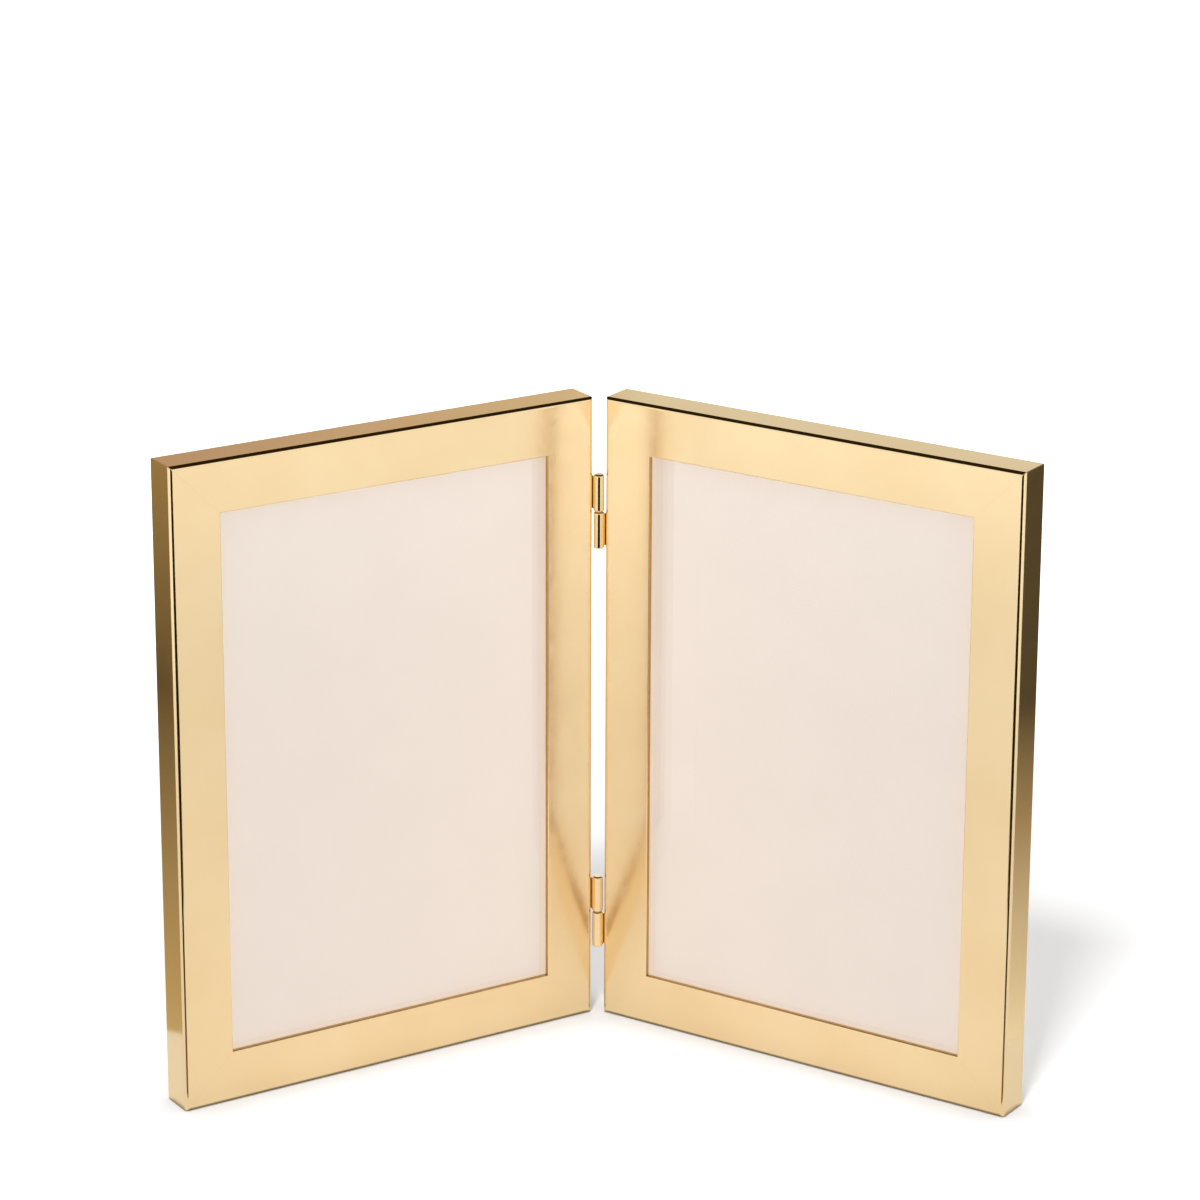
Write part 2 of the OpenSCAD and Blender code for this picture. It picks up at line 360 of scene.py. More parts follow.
def rail_tool(length):
    """What is drilled and milled out of each rail: pockets for the keys and a screw hole."""
    bm = bmesh.new()
    low = key_start - key_fit
    reach = key_arm + 2 * key_fit
    for start in (low, length - low - reach):
        near = (start, key_y - key_fit, low)
        far = (start + reach, key_y + key_t + key_fit, low + key_w + 2 * key_fit)
        add_box(bm, near, far)
    pivot = Matrix.Translation((length / 2, panel_t, pivot_inset)) @ out_of_back
    add_drum(bm, button_screw_d / 2, -button_hole_l, out, pivot)
    return bm


def hinge_tool():
    """What is drilled out of an inner stile for the screws of its hinge leaves."""
    bm = bmesh.new()
    for height in hinge_heights.values():
        for way in (-1, 1):
            hole = Matrix.Translation((-leaf_t, leaf_screw_y, height + way * leaf_screw_gap)) @ into_stile
            add_drum(bm, hinge_screw_d / 2, 0, hinge_hole_l, hole)
    return bm


for panel, side in sides.items():
    for edge, length in edge_lengths.items():
        place = panel_places[panel] @ edge_places[edge]
        name = f"{panel}_{edge_names[edge]}"
        rail = make_object(name + "_plated", rail_mesh(length), place)
        cut(rail, make_object("tool", rail_tool(length), place))
        if edge == "inner":
            cut(rail, make_object("tool", hinge_tool(), panel_places[panel]))
        finish_piece(rail, gold, f"{panel}_panel", "polished_gold", name)


# Corner keys. Four stamped steel angles to a panel, pressed into pockets behind the mitres before the
# corners are soldered. They are bright zinc plated and can't be seen in the finished frame.
zinc, wire, here = new_finish("zinc_plated_steel")
spangle = wire.node("ShaderNodeTexVoronoi", None, {"Vector": here, "Scale": 900}, output="Color")
flake = wire.node("ShaderNodeSeparateColor", None, {"Color": spangle})
surface(
    wire,
    Base_Color=flake.mix((0.50, 0.51, 0.53, 1), (0.64, 0.65, 0.66, 1)),
    Roughness=0.32 + flake * 0.16,
    Metallic=1.0,
    Normal=wire.bump(wire.noise(here, 1500, detail=3), 0.000002),
)


def dress(node, material):
    """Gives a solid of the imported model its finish."""
    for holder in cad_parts[node].material_slots:
        holder.material = material


for panel in sides:
    dress(f"{panel}_corner_keys", zinc)


# Glass. A sheet of 2 mm float glass in each panel, cut to the size of the print, with its edges ground.
# It rests on the back of the front lip.
print_x, print_z = 0.0113, 0.0113
print_w, print_h = 0.102, 0.1524
glass_t, glass_ease = 0.002, 0.00025
hair = 0.00001

float_glass, wire, here = new_finish("float_glass")
pane = wire.node(
    "ShaderNodeBsdfPrincipled",
    None,
    {
        "Base Color": (0.985, 0.995, 0.990, 1),
        "Roughness": wire.noise(here, 40) * 0.004,
        "IOR": 1.5,
        "Transmission Weight": 1.0,
    },
)
shadow_ray = wire.node("ShaderNodeLightPath", output="Is Shadow Ray")
diffuse_ray = wire.node("ShaderNodeLightPath", output="Is Diffuse Ray")
clear = wire.node("ShaderNodeBsdfTransparent")
both = wire.node("ShaderNodeMixShader", None, {0: shadow_ray + diffuse_ray, 1: pane, 2: clear})
wire.node("ShaderNodeOutputMaterial", None, {"Surface": both})

for panel in sides:
    bm = bmesh.new()
    low = (print_x, lip_t + hair, print_z)
    add_box(bm, low, (print_x + print_w, lip_t + glass_t - 2 * hair, print_z + print_h), glass_ease)
    glass = make_object(f"{panel}_glass_pane", bm, panel_places[panel])
    finish_piece(glass, float_glass, f"{panel}_panel", "glass", f"{panel}_glass")


# Paper insert and filler card. A blush sheet of uncoated paper fills each window until the owner's print
# takes its place, and a card behind it presses it to the glass.
blush_paper, wire, here = new_finish("blush_paper")
fibres = wire.noise(here, 2400, detail=4, roughness=0.65)
cloud = wire.noise(here, 45, detail=2)
tone = fibres * 0.5 + cloud * 0.5
surface(
    wire,
    Base_Color=tone.stretch(0.35, 0.65).mix((0.855, 0.738, 0.650, 1), (0.880, 0.760, 0.672, 1)),
    Roughness=0.78 + fibres * 0.12,
    Specular_IOR_Level=0.3,
    Normal=wire.bump(fibres, 0.00001, 0.5),
)

grey_card, wire, here = new_finish("filler_card_pulp")
flecks = wire.noise(here, 1800, detail=5, roughness=0.7)
surface(
    wire,
    Base_Color=flecks.stretch(0.4, 0.7).mix((0.78, 0.76, 0.71, 1), (0.60, 0.57, 0.51, 1)),
    Roughness=0.82 + flecks * 0.12,
    Normal=wire.bump(flecks, 0.00002),
)

for panel in sides:
    dress(f"{panel}_paper_insert", blush_paper)
    dress(f"{panel}_filler_card", grey_card)


# Backing board and its velvet cover. A hardboard back closes each rebate. Its outside is covered with
# short ivory velvet, glued down and rolled over the cut edges.
cover_low, cover_high = 0.0098, 0.0105
pile_roll, pile_rest = 0.0006, 0.00003
cover_step, roll_shares = 0.0017, (0, 0.06, 0.2, 0.42, 0.7, 1)

hardboard, wire, here = new_finish("hardboard")
chips = wire.noise(here, 900, detail=6, roughness=0.7)
surface(
    wire,
    Base_Color=chips.stretch(0.3, 0.7).mix((0.20, 0.12, 0.065, 1), (0.32, 0.21, 0.12, 1)),
    Roughness=0.7 + chips * 0.2,
    Normal=wire.bump(chips, 0.00004),
)

velvet, wire, here = new_finish("ivory_velvet")
pile = wire.noise(here, 3600, detail=3, roughness=0.6)
brushed = wire.noise(here, 38, detail=3, roughness=0.55)
nap = brushed.stretch(0.38, 0.62) * 0.75 + pile * 0.25
surface(
    wire,
    Base_Color=nap.mix((0.56, 0.475, 0.36, 1), (0.68, 0.60, 0.48, 1)),
    Roughness=0.85 + pile * 0.1,
    Specular_IOR_Level=0.2,
    Sheen_Weight=0.6,
    Sheen_Roughness=0.45,
    Sheen_Tint=(1.0, 0.95, 0.86, 1),
    Normal=wire.bump(pile, 0.00012, 0.8, normal=wire.bump(brushed, 0.0003, 0.5)),
)


def cover_lines(start, size):
    """Places of the mesh lines across the cover: close together where the pile rolls over its edge."""
    roll = [pile_roll * share for share in roll_shares]
    count = round((size - 2 * pile_roll) / cover_step)
    field = [pile_roll + (size - 2 * pile_roll) * i / count for i in range(1, count)]
    return [start + place for place in roll + field + [size - place for place in reversed(roll)]]


def cover_mesh():
    """The velvet cover: a low cushion with rolled edges and a flat back."""
    bm = bmesh.new()
    rows = []
    for z in cover_lines(print_z, print_h):
        row = []
        for x in cover_lines(print_x, print_w):
            edge = min(x - print_x, print_x + print_w - x, z - print_z, print_z + print_h - z)
            share = 1 - min(1, edge / pile_roll)
            drop = pile_roll * (1 - math.sqrt(max(0, 1 - share * share)))
            row.append(bm.verts.new((x, cover_high - pile_rest - drop, z)))
        rows.append(row)
    for first, second in zip(rows, rows[1:]):
        for i in range(len(first) - 1):
            bm.faces.new((first[i], first[i + 1], second[i + 1], second[i]))
    rim = rows[0] + [row[-1] for row in rows[1:]] + rows[-1][-2::-1] + [row[0] for row in rows[-2:0:-1]]
    foot = [bm.verts.new((vert.co.x, cover_low, vert.co.z)) for vert in rim]
    for i in range(len(rim)):
        j = (i + 1) % len(rim)
        bm.faces.new((rim[i], rim[j], foot[j], foot[i]))
    bm.faces.new(foot)
    bmesh.ops.recalc_face_normals(bm, faces=bm.faces)
    return bm


for panel in sides:
    dress(f"{panel}_backing_board", hardboard)
    cover = make_object(f"{panel}_velvet_cover", cover_mesh(), panel_places[panel])
    finish_piece(cover, velvet, f"{panel}_panel", "velvet", f"{panel}_back_cover", sharp=50)


# Turn buttons. Four flat brass buttons with round ends hold the backing in, one halfway along each
# rail. Their edges are tumbled smooth and each turns on its own screw.
button_r, button_t, button_run, button_bore = 0.003, 0.0008, 0.006, 0.00105
button_ease, bore_ease, button_rest, button_steps = 0.00016, 0.00008, 0.00001, 64
ease_steps = ((1, 0), (0.62, 0.08), (0.29, 0.29), (0.08, 0.62), (0, 1))
button_weld = 1e-7


def button_ring(bm, radius, run, height):
    """A ring of a button's mesh: a circle on the pivot, drawn out to a round-ended slot by run."""
    ring = []
    for i in range(button_steps + 2):
        lower = i > button_steps / 2
        turn = 2 * math.pi * (i - lower) / button_steps
        place = (radius * math.cos(turn), radius * math.sin(turn) - run * lower, height)
        ring.append(bm.verts.new(place))
    return ring


def button_mesh():
    bm = bmesh.new()
    rings = []
    for inward, down in ease_steps:
        radius = button_r - inward * button_ease
        rings.append(button_ring(bm, radius, button_run, button_t - down * button_ease))
    for inward, down in reversed(ease_steps):
        radius = button_r - inward * button_ease
        rings.append(button_ring(bm, radius, button_run, button_rest + down * button_ease))
    for inward, down in ease_steps[::2]:
        rings.append(button_ring(bm, button_bore + inward * bore_ease, 0, button_rest + down * bore_ease))
    for inward, down in reversed(ease_steps[::2]):
        rings.append(button_ring(bm, button_bore + inward * bore_ease, 0, button_t - down * bore_ease))
    count = button_steps + 2
    for first, second in zip(rings, rings[1:] + rings[:1]):
        for i in range(count):
            j = (i + 1) % count
            bm.faces.new((first[i], first[j], second[j], second[i]))
    bmesh.ops.remove_doubles(bm, verts=bm.verts, dist=button_weld)
    bmesh.ops.recalc_face_normals(bm, faces=bm.faces)
    return bm


def pivot_place(panel, edge):
    """The middle of a rail's back, with Z out of it."""
    pivot = Matrix.Translation((edge_lengths[edge] / 2, panel_t, pivot_inset))
    return panel_places[panel] @ edge_places[edge] @ pivot @ out_of_back


for panel in sides:
    for edge in edge_names:
        name = f"{panel}_{edge}_turn_button"
        button = make_object(name + "_plated", button_mesh(), pivot_place(panel, edge))
        finish_piece(button, gold, name, "polished_gold", name, sharp=40)


# Turn button screws. A slotted pan head screw, plated like the frame, holds each button down on the back
# of its rail. The slots lie as the fitter left them.
screw_tree = bpy.data.node_groups.new("slotted_screws", "GeometryNodeTree")
screw_inputs = {
    "Geometry": "NodeSocketGeometry",
    "Head Radius": "NodeSocketFloat",
    "Head Height": "NodeSocketFloat",
    "Head Edge": "NodeSocketFloat",
    "Cone Height": "NodeSocketFloat",
    "Shank Radius": "NodeSocketFloat",
    "Shank Length": "NodeSocketFloat",
    "Slot Width": "NodeSocketFloat",
    "Slot Depth": "NodeSocketFloat",
    "Axis": "NodeSocketVector",
    "Slot Swing": "NodeSocketFloat",
    "Seed": "NodeSocketInt",
    "Finish": "NodeSocketMaterial",
}
screw_sockets = {}
for name, kind in screw_inputs.items():
    socket = screw_tree.interface.new_socket(name=name, in_out="INPUT", socket_type=kind)
    screw_sockets[name] = socket.identifier
screw_tree.interface.new_socket(name="Geometry", in_out="OUTPUT", socket_type="NodeSocketGeometry")

wire = Wire(screw_tree)
group_input = screw_tree.nodes.new("NodeGroupInput")
given = {name: Wire(screw_tree, group_input.outputs[name]) for name in screw_inputs}
round_steps, dome_steps, band_weld = 40, 5, 0.000002


def shifted(shape, height):
    """A shape of the screw tree, moved along the screw."""
    offset = wire.node("ShaderNodeCombineXYZ", None, {"Z": height})
    return wire.node("GeometryNodeTransform", None, {"Geometry": shape, "Translation": offset})


head_r, head_h, head_edge = given["Head Radius"], given["Head Height"], given["Head Edge"]
outline = [
    (given["Shank Radius"], given["Shank Length"] * -1),
    (given["Shank Radius"], given["Cone Height"] * -1),
    (head_r, head_h * 0),
]
for step in range(dome_steps + 1):
    turn = math.pi / 2 * step / dome_steps
    outline.append((head_r - head_edge * (1 - math.cos(turn)), head_h - head_edge * (1 - math.sin(turn))))
shapes = []
for (low_r, low), (high_r, high) in zip(outline, outline[1:]):
    values = {"Vertices": round_steps, "Radius Bottom": low_r, "Radius Top": high_r, "Depth": high - low}
    band = wire.node("GeometryNodeMeshCone", {"fill_type": "NONE"}, values)
    shapes.append(shifted(band, low))
for radius, height in (outline[0], outline[-1]):
    values = {"Vertices": round_steps, "Radius": radius}
    cap = wire.node("GeometryNodeMeshCircle", {"fill_type": "NGON"}, values)
    shapes.append(shifted(cap, height))
joined = screw_tree.nodes.new("GeometryNodeJoinGeometry")
for shape in shapes:
    screw_tree.links.new(shape.socket, joined.inputs[0])
loose = Wire(screw_tree, joined.outputs[0])
blank = wire.node("GeometryNodeMergeByDistance", None, {"Geometry": loose, "Distance": band_weld})
slot_size = wire.node(
    "ShaderNodeCombineXYZ", None, {"X": head_r * 3, "Y": given["Slot Width"], "Z": given["Slot Depth"] * 2}
)
slot_cutter = shifted(wire.node("GeometryNodeMeshCube", None, {"Size": slot_size}), head_h)
slotted = wire.node(
    "GeometryNodeMeshBoolean",
    {"operation": "DIFFERENCE", "solver": "EXACT"},
    {"Mesh 1": blank, "Mesh 2": slot_cutter},
)
swing = wire.node(
    "FunctionNodeRandomValue",
    {"data_type": "FLOAT"},
    {2: given["Slot Swing"] * -1, 3: given["Slot Swing"], "Seed": given["Seed"]},
    output=1,
)
along_axis = wire.node("FunctionNodeAlignRotationToVector", {"axis": "Z"}, {"Vector": given["Axis"]})
spin = wire.node("FunctionNodeAxisAngleToRotation", None, {"Axis": (0, 0, 1), "Angle": swing})
turned = wire.node(
    "FunctionNodeRotateRotation", {"rotation_space": "LOCAL"}, {"Rotation": along_axis, "Rotate By": spin}
)
placed = wire.node(
    "GeometryNodeInstanceOnPoints",
    None,
    {"Points": given["Geometry"], "Instance": slotted, "Rotation": turned},
)
real = wire.node("GeometryNodeRealizeInstances", None, {"Geometry": placed})
plated = wire.node("GeometryNodeSetMaterial", None, {"Geometry": real, "Material": given["Finish"]})
wire.node("NodeGroupOutput", None, {"Geometry": plated})


def add_screws(name, places, axis, sizes, seed):
    """Screws at the given places, all along one axis, as one plain mesh."""
    bm = bmesh.new()
    for place in places:
        bm.verts.new(place)
    screws = make_object(name, bm)
    maker = screws.modifiers.new("screws", "NODES")
    maker.node_group = screw_tree
    for key, value in {**sizes, "Axis": axis, "Seed": seed, "Finish": gold}.items():
        maker[screw_sockets[key]] = value
    return bake_modifiers(screws)


button_screw = {
    "Head Radius": 0.0019,
    "Head Height": 0.001,
    "Head Edge": 0.0005,
    "Cone Height": 0.0,
    "Shank Radius": 0.001,
    "Shank Length": 0.005 + button_t,
    "Slot Width": 0.0005,
    "Slot Depth": 0.0005,
    "Slot Swing": 1.4,
}
for seed, panel in enumerate(sides):
    pivots = [pivot_place(panel, edge) for edge in edge_names]
    axis = pivots[0].to_3x3() @ Vector((0, 0, 1))
    heads = [pivot @ Vector((0, 0, button_t)) for pivot in pivots]
    screws = add_screws(f"{panel}_button_screws_slotted", heads, axis, button_screw, seed + 3)
    finish_piece(screws, gold, f"{panel}_panel", "polished_gold", f"{panel}_turn_button_screws")


# Hinges. Each hinge is two brass leaves on a steel pin. A leaf is a plate screwed to the side of its stile,
# with a tab that runs straight on from it to a knuckle with rounded ends on the pin.
leaf_d, leaf_h, leaf_setback, leaf_ease = 0.0062, 0.0204, 0.0021, 0.00007
knuckle_r, knuckle_end_r, knuckle_l, knuckle_gap = 0.0014, 0.0005, 0.0102, 0.0001
tab_inset = 0.0007
pin_r, pin_clear, bore_l = 0.0007, 0.00005, 0.0087
sunk_r, sunk_h = 0.0013, 0.0006
knuckle_sides, knuckle_steps, sunk_sides = 64, 8, 40


def add_lathe(bm, outline, place, steps):
    """A solid of revolution about Z, from an outline of (radius, height) that starts and ends on Z."""
    rings = []
    for radius, height in outline:
        if not radius:
            rings.append([bm.verts.new(place @ Vector((0, 0, height)))] * steps)
            continue
        turns = [2 * math.pi * i / steps for i in range(steps)]
        spots = [Vector((radius * math.cos(turn), radius * math.sin(turn), height)) for turn in turns]
        rings.append([bm.verts.new(place @ spot) for spot in spots])
    for first, second in zip(rings, rings[1:]):
        for i in range(steps):
            j = (i + 1) % steps
            corners = list(dict.fromkeys((first[i], first[j], second[j], second[i])))
            bm.faces.new(corners)
    bmesh.ops.recalc_face_normals(bm, faces=bm.faces)


def knuckle_outline():
    """Outline of a knuckle from its seam end to its outer end, with a tight line beside each round."""
    flat = knuckle_r - knuckle_end_r
    start, end = knuckle_gap / 2, knuckle_gap / 2 + knuckle_l
    turns = [math.pi / 2 * i / knuckle_steps for i in range(knuckle_steps + 1)]
    seam_end = []
    for turn in turns:
        radius = flat + knuckle_end_r * math.sin(turn)
        seam_end.append((radius, start + knuckle_end_r * (1 - math.cos(turn))))
    outer_end = [(radius, start + end - height) for radius, height in reversed(seam_end)]
    near, far = start + knuckle_end_r + tight_run, end - knuckle_end_r - tight_run
    first, last = (flat - tight_run, start), (flat - tight_run, end)
    return [(0, start), first, *seam_end, (knuckle_r, near), (knuckle_r, far), *outer_end, last, (0, end)]


def tab_range(height, side):
    """Lowest and highest point of the tab of a hinge leaf: above the seam on the left panel."""
    near = knuckle_gap / 2 + tab_inset
    far = knuckle_gap / 2 + knuckle_l - tab_inset
    return (height + near, height + far) if side < 0 else (height - far, height - near)


def leaf_blank(height, side):
    """The plate of a hinge leaf with its tab, cut from one sheet and eased along its edges."""
    tab_low, tab_high = tab_range(height, side)
    low, high = height - leaf_h / 2, height + leaf_h / 2
    front, back, tip = leaf_setback, leaf_setback + leaf_d, -axis_front
    shape = [(front, low), (front, tab_low), (tip, tab_low), (tip, tab_high)]
    shape += [(front, tab_high), (front, high), (back, high), (back, low)]
    bm = bmesh.new()
    rims = [[bm.verts.new((x, y, z)) for y, z in shape] for x in (-leaf_t, 0)]
    for i in range(len(shape)):
        j = (i + 1) % len(shape)
        bm.faces.new((rims[0][i], rims[0][j], rims[1][j], rims[1][i]))
    for rim in rims:
        bm.faces.new(rim)
    bmesh.ops.recalc_face_normals(bm, faces=bm.faces)
    bmesh.ops.bevel(bm, geom=bm.edges[:], offset=leaf_ease, **round_bevel)
    return bm


def leaf_tool(height, side):
    """What is drilled out of a hinge leaf: the bore of its knuckle and two countersunk holes."""
    bm = bmesh.new()
    bore = pin_r + (pin_clear if side < 0 else 0)
    end = knuckle_gap / 2 + bore_l
    add_drum(bm, bore, -out, end, knuckle_place(height, side))
    for way in (-1, 1):
        hole = Matrix.Translation((-leaf_t, leaf_screw_y, height + way * leaf_screw_gap)) @ into_stile
        outline = [(0, -out), (sunk_r, -out), (sunk_r, 0), (hinge_screw_d / 2, sunk_h)]
        outline += [(hinge_screw_d / 2, leaf_t + out), (0, leaf_t + out)]
        add_lathe(bm, outline, hole, sunk_sides)
    return bm


def knuckle_place(height, side):
    """The seam of a hinge on its axis, with Z towards the knuckle of that side."""
    flip = Matrix.Diagonal((1, 1, -side, 1))
    return Matrix.Translation((-axis_side, -axis_front, height)) @ flip


turned_gold = gold_plate("turned_gold_plate", least_haze=0.025)
for panel, side in sides.items():
    place = panel_places[panel]
    for hinge, height in hinge_heights.items():
        name = f"{hinge}_hinge_{panel}_leaf"
        leaf = make_object(name + "_plated", leaf_blank(height, side), place)
        barrel = bmesh.new()
        add_lathe(barrel, knuckle_outline(), knuckle_place(height, side), knuckle_sides)
        cut(leaf, make_object("tool", barrel, place), "UNION")
        cut(leaf, make_object("tool", leaf_tool(height, side), place))
        finish_piece(leaf, turned_gold, f"{panel}_panel", "polished_gold", name)

for hinge in hinge_heights:
    dress(f"{hinge}_hinge_pin", zinc)


# Hinge screws. Two small countersunk screws hold each leaf on its stile, four to a panel, with their
# slotted heads flush with the plate.
hinge_screw = {
    "Head Radius": sunk_r - hair,
    "Head Height": 0.0,
    "Head Edge": 0.0,
    "Cone Height": sunk_h,
    "Shank Radius": hinge_screw_d / 2 - hair,
    "Shank Length": 0.005,
    "Slot Width": 0.0004,
    "Slot Depth": 0.0003,
    "Slot Swing": 1.2,
}
for seed, panel in enumerate(sides):
    place = panel_places[panel]
    spots = []
    for height in hinge_heights.values():
        spots += [Vector((hair - leaf_t, leaf_screw_y, height + way * leaf_screw_gap)) for way in (-1, 1)]
    axis = place.to_3x3() @ Vector((-1, 0, 0))
    heads = [place @ spot for spot in spots]
    screws = add_screws(f"{panel}_hinge_screws_slotted", heads, axis, hinge_screw, seed + 11)
    finish_piece(screws, gold, f"{panel}_panel", "polished_gold", f"{panel}_hinge_screws")


# The studio. The frame stands on a white sweep in plain white surroundings. One soft lamp throws its
# shadow on the sweep, and three lamps, to each side and behind, light the frame evenly. Cards round it,
# which only the metal shows, give the metal its tones.
floor_half, sweep_tone, sweep_blue = 4, 0.84, 0.845
contact_reach, foot_reach = 0.012, 0.0022
seen_lift, far_lift, mirrored_lift, far_mirrored_lift = 0.37, 0.65, 0.13, 0.20
seen_fade, mirrored_fade, foot_fade = (0.16, 0.5), (0.3, 0.6), (0.004, 0.009)
bounce_cut, foot_least, second_mirror = 0.6, 0.28, 1.5

floor_white, wire, here = new_finish("white_sweep")
paths = ("Camera", "Diffuse", "Glossy", "Transmission")
rays = {name: wire.node("ShaderNodeLightPath", output=f"Is {name} Ray") for name in paths}
away = wire.node("ShaderNodeVectorMath", {"operation": "LENGTH"}, {0: here}, output="Value")

# the shade along the foot shows in the metal just above it, and in no other mirror
contact = wire.node("ShaderNodeAmbientOcclusion", {"samples": 8}, {"Distance": contact_reach}, output="AO")
close = wire.node("ShaderNodeAmbientOcclusion", {"samples": 8}, {"Distance": foot_reach}, output="AO")
run = wire.node("ShaderNodeLightPath", output="Ray Length")
mirrors = wire.node("ShaderNodeLightPath", output="Glossy Depth")
far = run.stretch(*foot_fade).at_least(mirrors.over(second_mirror))
footing = far.at_least(foot_least + close.stretch(0.5, 1.0) * (1 - foot_least))

# the sweep shows white to the camera but lights and mirrors less
to_eye = (rays["Camera"] + rays["Transmission"]) * (seen_lift + away.stretch(*seen_fade) * far_lift)
to_metal = rays["Glossy"] * (mirrored_lift + away.stretch(*mirrored_fade) * far_mirrored_lift)
# near the frame the glow fades with ambient occlusion, a painted contact shade on the sweep
lift = to_eye * contact + to_metal * footing
dim = (1 - rays["Diffuse"] * bounce_cut) * (1 - rays["Glossy"] * (1 - footing))
tones = {0: dim * sweep_tone, 1: dim * sweep_tone, 2: dim * sweep_blue}
tint = wire.node("ShaderNodeCombineColor", None, tones)
matt = wire.node("ShaderNodeBsdfDiffuse", None, {"Color": tint})
glow = wire.node("ShaderNodeEmission", None, {"Color": (1, 1, 1, 1), "Strength": lift})
added = wire.node("ShaderNodeAddShader", None, {0: matt, 1: glow})
wire.node("ShaderNodeOutputMaterial", None, {"Surface": added})
floor_mesh = bmesh.new()
bmesh.ops.create_grid(floor_mesh, x_segments=1, y_segments=1, size=floor_half)
floor = make_object("studio_floor", floor_mesh)
floor.data.materials.append(floor_white)

air_light, dark_from, dark_to = 0.43, 0.38, 0.52
bright_air, flag_dark = (1.05, 1.05, 1.05, 1), (0.02, 0.012, 0.0, 1)
world = bpy.data.worlds.new("studio_air")
world.use_nodes = True
world.node_tree.nodes.clear()
wire = Wire(world.node_tree)
toward = wire.node("ShaderNodeTexCoord", output="Generated")
upward = wire.node("ShaderNodeSeparateXYZ", None, {"Vector": toward}, output="Z")
mirrored = wire.node("ShaderNodeLightPath", output="Is Glossy Ray")
seen = wire.node("ShaderNodeLightPath", output="Is Camera Ray")
soft = wire.node("ShaderNodeBackground", None, {"Color": (1, 1, 1, 1), "Strength": air_light})
dark_top = upward.stretch(dark_from, dark_to).mix(bright_air, flag_dark)
room = wire.node("ShaderNodeBackground", None, {"Color": dark_top, "Strength": 1.0})
white = wire.node("ShaderNodeBackground", None, {"Color": (1, 1, 1, 1), "Strength": 1.0})
lit = wire.node("ShaderNodeMixShader", None, {0: mirrored, 1: soft, 2: room})
shown = wire.node("ShaderNodeMixShader", None, {0: seen, 1: lit, 2: white})
wire.node("ShaderNodeOutputWorld", None, {"Surface": shown})
bpy.context.scene.world = world

lamp_aim = Vector((0, 0, 0.08))


def add_lamp(name, place, size, power):
    """A square soft lamp, aimed at the frame."""
    data = bpy.data.lights.new(name, "AREA")
    data.shape = "SQUARE"
    data.size = size
    data.energy = power
    lamp = bpy.data.objects.new(name, data)
    lamp.location = place
    lamp.rotation_euler = (lamp_aim - Vector(place)).to_track_quat("-Z", "Y").to_euler()
    lamp.visible_glossy = False
    bpy.context.scene.collection.objects.link(lamp)
    return lamp


key_lamp = add_lamp("key_lamp", place=(-0.297, -1.35, 2.06), size=0.3, power=30.5)
on_floor = bpy.data.collections.new("lit_by_the_key")
on_floor.objects.link(floor)
key_lamp.light_linking.receiver_collection = on_floor
off_floor = bpy.data.collections.new("not_lit_by_the_sides")
off_floor.objects.link(floor)
off_floor.collection_objects[0].light_linking.link_state = "EXCLUDE"
for name, side in sides.items():
    side_lamp = add_lamp(f"{name}_lamp", place=(side * 2.46, -1.72, 0.4), size=1.0, power=56)
    side_lamp.light_linking.receiver_collection = off_floor
    side_lamp.data.use_shadow = False
back_lamp = add_lamp("back_lamp", place=(0, 2.5, 0.6), size=1.0, power=48)
back_lamp.light_linking.receiver_collection = off_floor


def add_card(name, spots, along, stops):
    """A card that shows only in the first mirror a ray meets, with its tones in stops along one axis."""
    made, wire, here = new_finish(name + "_tone")
    bm = bmesh.new()
    bm.faces.new([bm.verts.new(spot) for spot in spots])
    places = [spot["XYZ".index(along)] for spot in spots]
    low, high = min(places), max(places)
    place = wire.node("ShaderNodeSeparateXYZ", None, {"Vector": here}, output=along)
    tone = wire.node("ShaderNodeValToRGB", {"stops": stops}, {"Fac": (place - low) / (high - low)})
    glow = wire.node("ShaderNodeEmission", None, {"Color": tone, "Strength": 1.0})
    clear = wire.node("ShaderNodeBsdfTransparent")
    mirrors = wire.node("ShaderNodeLightPath", output="Glossy Depth")
    once = wire.node("ShaderNodeMixShader", None, {0: mirrors.over(second_mirror), 1: glow, 2: clear})
    wire.node("ShaderNodeOutputMaterial", None, {"Surface": once})
    card = make_object(name, bm)
    card.data.materials.append(made)
    card.visible_camera = False
    card.visible_diffuse = False
    card.visible_transmission = False
    card.visible_shadow = False


def upright(ends, bottom, top):
    """Corners of an upright card over the two ends of its foot."""
    foot = [(x, y, bottom) for x, y in ends]
    return foot + [(x, y, top) for x, y in reversed(ends)]


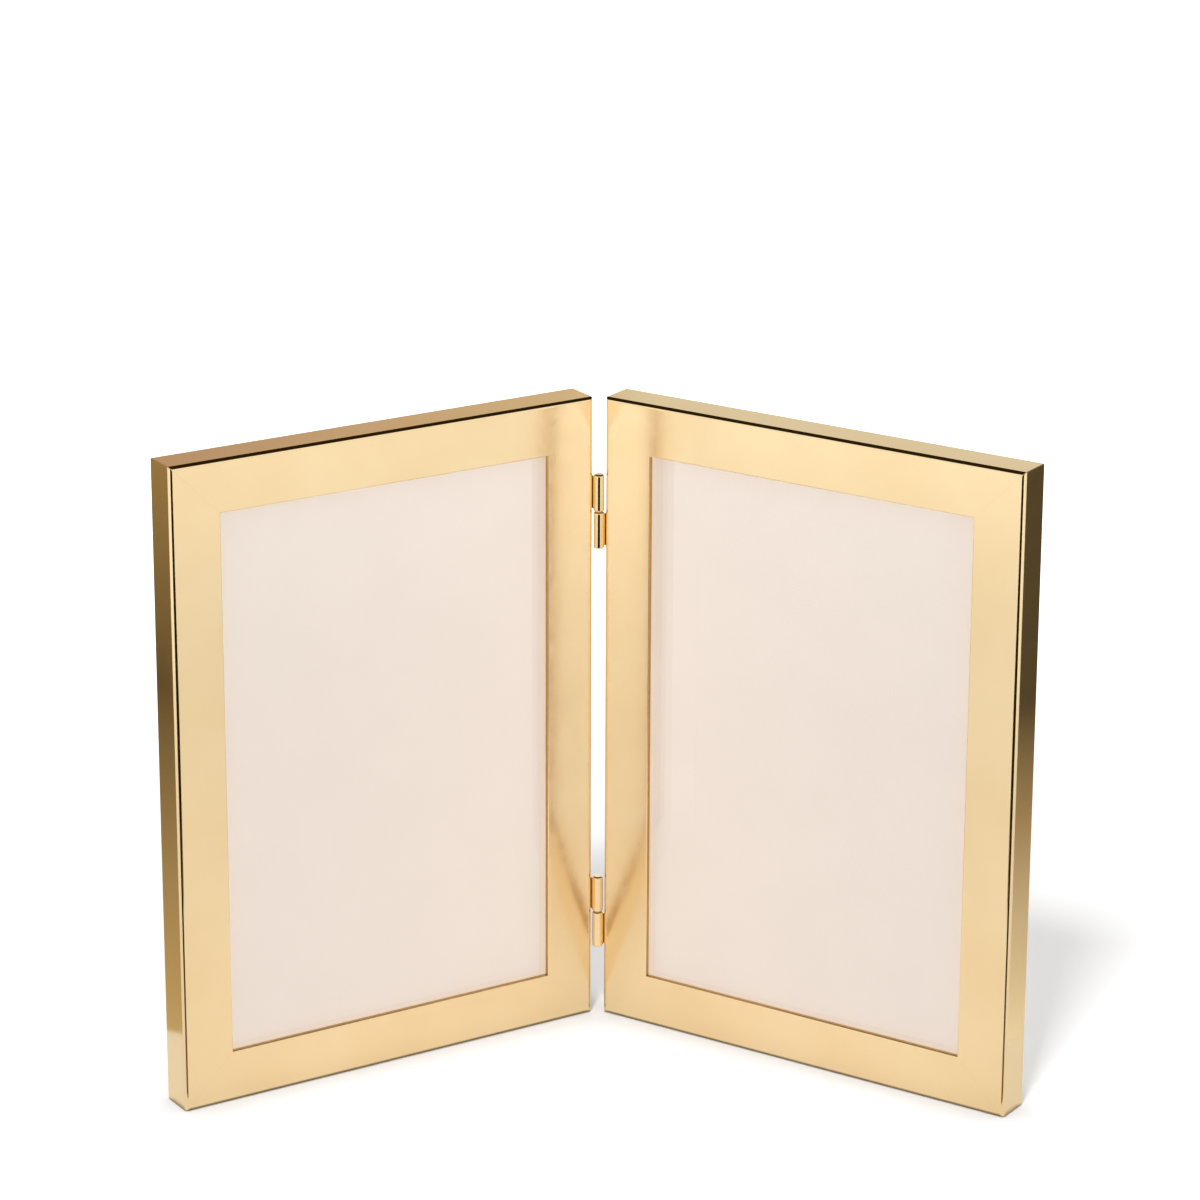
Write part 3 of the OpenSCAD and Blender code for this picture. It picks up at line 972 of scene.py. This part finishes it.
flag_x, flag_front, flag_rear, flag_top = 0.150, -0.022, 0.128, 0.2
flag_tones = {
    "left": ((0, (0.55, 0.44, 0.25, 1)), (0.5, (0.13, 0.095, 0.05, 1)), (0.85, (0.34, 0.26, 0.13, 1))),
    "right": ((0, (0.86, 0.84, 0.76, 1)), (0.32, (0.35, 0.28, 0.18, 1)), (0.48, (0.085, 0.07, 0.045, 1))),
}
for name, side in sides.items():
    ends = [(side * flag_x, flag_front), (side * flag_x, flag_rear)]
    add_card(f"{name}_flag", upright(ends, 0, flag_top), "Z", flag_tones[name])

# the card behind gives the top edges of the panels their tone, rosy at the left and pale at the right
back_half, back_y, back_low, back_high = 0.25, 0.40, 0.19, 0.42
back_tones = ((0.18, (0.50, 0.36, 0.27, 1)), (0.47, (0.65, 0.54, 0.39, 1)), (0.53, (0.75, 0.72, 0.63, 1)))
back_ends = [(-back_half, back_y), (back_half, back_y)]
add_card("back_card", upright(back_ends, back_low, back_high), "X", back_tones)

# two narrow flags draw the dark line down the rounded edge of each outer stile
edge_out, edge_in, edge_top = (0.1103, -0.0495), (0.1021, -0.0455), 0.178
for name, side in sides.items():
    ends = [(side * x, y) for x, y in (edge_out, edge_in)]
    tones = ((0, (0.20, 0.11, 0.03, 1)), (0.3, flag_dark))
    add_card(f"{name}_edge_flag", upright(ends, 0, edge_top), "Z", tones)

# a dark mat in front of the frame draws the line along the foot
mat_lift, mat_tip, mat_half = 0.001, (0, -0.135), ((0.15, -0.24), (0.30, -0.70))
mat = [mat_tip, *mat_half, *((-x, y) for x, y in reversed(mat_half))]
mat_tones = ((0.85, flag_dark), (1, (0.35, 0.25, 0.14, 1)))
add_card("front_mat", [(x, y, mat_lift) for x, y in mat], "Y", mat_tones)


# The camera. It stands where the photograph was taken, with a long lens, a little above the frame.
camera_place = Vector((0.0100442, -1.1187384, 0.4970689))
heading, tilt, roll = math.radians(0.48328), math.radians(71.76972), math.radians(0.22014)
camera_data = bpy.data.cameras.new("camera")
camera_data.lens = 136.32
camera_data.sensor_width = 36
camera = bpy.data.objects.new("camera", camera_data)
camera.matrix_world = (
    Matrix.Translation(camera_place)
    @ Matrix.Rotation(heading, 4, "Z")
    @ Matrix.Rotation(tilt, 4, "X")
    @ Matrix.Rotation(roll, 4, "Z")
)
bpy.context.scene.collection.objects.link(camera)
bpy.context.scene.camera = camera
bpy.context.scene.view_settings.view_transform = "Standard"
